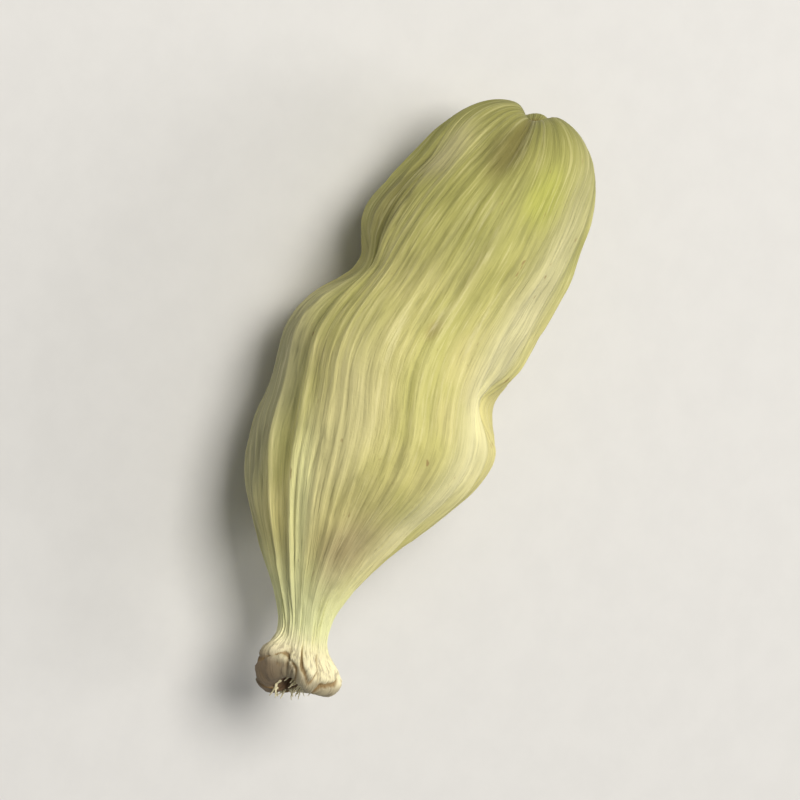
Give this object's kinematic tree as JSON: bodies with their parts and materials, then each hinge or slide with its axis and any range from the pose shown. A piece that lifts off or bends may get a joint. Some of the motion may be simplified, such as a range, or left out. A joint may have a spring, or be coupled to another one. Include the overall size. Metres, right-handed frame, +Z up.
{
  "type": "green cardamom pod",
  "caption": "Dried green cardamom pod: a lobed, ribbed papery husk, blunt at one end and drawn out to a short neck and a pale knob at the other, lying on its side.",
  "frame": {"origin": "on the surface that the pod lies on, under the middle of its bounding box", "axes": "+X along the pod from its stalk end to its blunt tip, +Z up, +Y to its left when seen from the stalk end"},
  "size_m": [0.018, 0.007, 0.0061],
  "materials": {
    "dry_husk": "matte, dry and papery, pale yellow-green with fine fibres along it, paler on its ribs and neck and cream at its knob"
  },
  "bodies": {
    "root": {"cardamom_pod": "dry_husk"}
  },
  "joints": []
}
